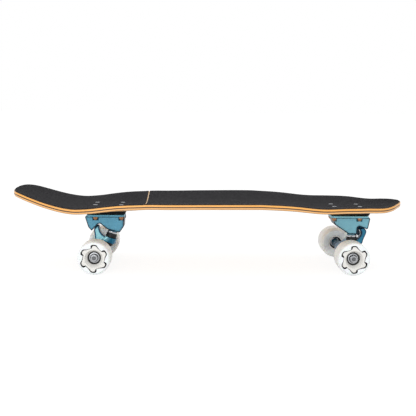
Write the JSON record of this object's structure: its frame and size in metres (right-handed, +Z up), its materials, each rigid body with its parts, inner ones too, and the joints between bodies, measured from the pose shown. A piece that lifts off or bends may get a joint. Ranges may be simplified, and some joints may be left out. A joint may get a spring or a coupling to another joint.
{
  "type": "surf skateboard",
  "caption": "Short wide maple surf skateboard with a kicked tail, black grip tape, blue carving trucks that steer as it leans and wide pale wheels on lobed cores.",
  "frame": {"origin": "on the ground below the middle of the deck's length and width, at the bottom of the wheels", "axes": "+X towards the nose, +Y towards the far side rail, +Z up"},
  "size_m": [0.8096, 0.2606, 0.1628],
  "materials": {
    "deck_wood": "clear lacquered maple plies",
    "grip_tape": "coarse black grit sheet",
    "riser_rubber": "matte black",
    "base_metal": "satin blue-grey coating",
    "hanger_metal": "polished deep blue anodising",
    "cup_plastic": "smooth black",
    "bushing_rubber": "smooth black cast urethane",
    "steel": "bright zinc plated",
    "nut_plating": "copper-gold plated",
    "urethane": "smooth milky cast urethane",
    "core_plastic": "smooth white"
  },
  "bodies": {
    "board": {"deck": "deck_wood", "grip_tape_front": "grip_tape", "grip_tape_tail": "grip_tape", "riser_front": "riser_rubber", "truck_base_front": "base_metal", "pivot_cup_front": "cup_plastic", "kingpin_front": "steel", "bushing_upper_front": "bushing_rubber", "bushing_lower_front": "bushing_rubber", "washer_upper_front": "steel", "kingpin_nut_front": "steel", "deck_bolt_front_1": "steel", "deck_bolt_front_2": "steel", "deck_bolt_front_3": "steel", "deck_bolt_front_4": "steel", "deck_nut_front_1": "nut_plating", "deck_nut_front_2": "nut_plating", "deck_nut_front_3": "nut_plating", "deck_nut_front_4": "nut_plating", "riser_rear": "riser_rubber", "truck_base_rear": "base_metal", "pivot_cup_rear": "cup_plastic", "kingpin_rear": "steel", "bushing_upper_rear": "bushing_rubber", "bushing_lower_rear": "bushing_rubber", "washer_upper_rear": "steel", "kingpin_nut_rear": "steel", "deck_bolt_rear_1": "steel", "deck_bolt_rear_2": "steel", "deck_bolt_rear_3": "steel", "deck_bolt_rear_4": "steel", "deck_nut_rear_1": "nut_plating", "deck_nut_rear_2": "nut_plating", "deck_nut_rear_3": "nut_plating", "deck_nut_rear_4": "nut_plating"},
    "hanger_front": {"hanger_front": "hanger_metal", "axle_front": "steel", "axle_nut_front_far": "steel", "axle_nut_front_near": "steel"},
    "hanger_rear": {"hanger_rear": "hanger_metal", "axle_rear": "steel", "axle_nut_rear_far": "steel", "axle_nut_rear_near": "steel"},
    "wheel_front_far": {"tyre_front_far": "urethane", "wheel_core_front_far": "core_plastic", "bearing_outer_front_far": "steel", "bearing_inner_front_far": "steel"},
    "wheel_front_near": {"tyre_front_near": "urethane", "wheel_core_front_near": "core_plastic", "bearing_outer_front_near": "steel", "bearing_inner_front_near": "steel"},
    "wheel_rear_far": {"tyre_rear_far": "urethane", "wheel_core_rear_far": "core_plastic", "bearing_outer_rear_far": "steel", "bearing_inner_rear_far": "steel"},
    "wheel_rear_near": {"tyre_rear_near": "urethane", "wheel_core_rear_near": "core_plastic", "bearing_outer_rear_near": "steel", "bearing_inner_rear_near": "steel"}
  },
  "joints": [
    {"name": "steer_front", "type": "hinge", "parent": "board", "child": "hanger_front", "pos_m": [0.304, 0, 0.0481], "axis": [0.5225, 0, 0.8526], "range_deg": [-20, 20], "stiffness_Nm_per_rad": 40, "deforming": ["bushing_upper_front", "bushing_lower_front"]},
    {"name": "steer_rear", "type": "hinge", "parent": "board", "child": "hanger_rear", "pos_m": [-0.211, 0, 0.0517], "axis": [-0.7071, 0, 0.7071], "range_deg": [-15, 15], "stiffness_Nm_per_rad": 50, "deforming": ["bushing_upper_rear", "bushing_lower_rear"]},
    {"name": "spin_front_far", "type": "hinge", "parent": "hanger_front", "child": "wheel_front_far", "pos_m": [0.2851, 0.0958, 0.0331], "axis": [0, 1, 0], "continuous": true},
    {"name": "spin_front_near", "type": "hinge", "parent": "hanger_front", "child": "wheel_front_near", "pos_m": [0.2851, -0.0958, 0.0331], "axis": [0, 1, 0], "continuous": true},
    {"name": "spin_rear_far", "type": "hinge", "parent": "hanger_rear", "child": "wheel_rear_far", "pos_m": [-0.2324, 0.0958, 0.0331], "axis": [0, 1, 0], "continuous": true},
    {"name": "spin_rear_near", "type": "hinge", "parent": "hanger_rear", "child": "wheel_rear_near", "pos_m": [-0.2324, -0.0958, 0.0331], "axis": [0, 1, 0], "continuous": true}
  ]
}
